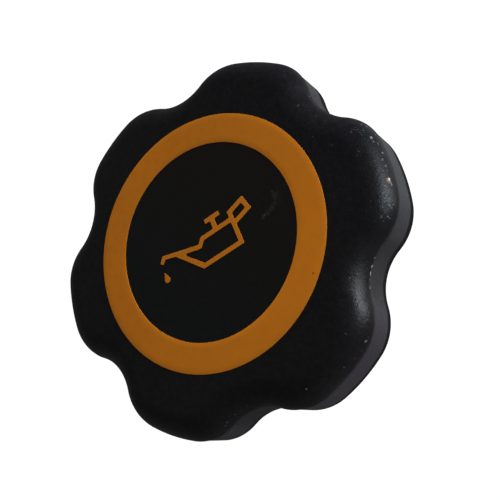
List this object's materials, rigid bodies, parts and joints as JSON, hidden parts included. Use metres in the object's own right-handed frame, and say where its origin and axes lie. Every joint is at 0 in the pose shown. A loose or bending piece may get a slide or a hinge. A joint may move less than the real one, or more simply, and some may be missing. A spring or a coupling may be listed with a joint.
{
  "type": "oil filler cap",
  "caption": "Lobed hand-turned cap for an engine's oil filler neck, with a bayonet plug, a rubber face seal, a coloured band and a printed oil can figure.",
  "frame": {"origin": "on the cap's axis at the free end of the plug, which the cap stands on", "axes": "+Z along the cap's axis from the plug to the printed face; +X through the tip of a lobe and the middle of a lug"},
  "size_m": [0.07, 0.0662, 0.0258],
  "materials": {
    "grip_plastic": "satin moulded, worn along the mould line",
    "plug_plastic": "moulded, slightly coarser than the grip",
    "seal_rubber": "soft black rubber",
    "mark_ink": "thick printed colour, faintly mottled"
  },
  "bodies": {
    "root": {"grip": "grip_plastic", "bayonet_plug": "plug_plastic", "seal_ring": "seal_rubber", "colour_band": "mark_ink", "oil_can_mark": "mark_ink"}
  },
  "joints": []
}
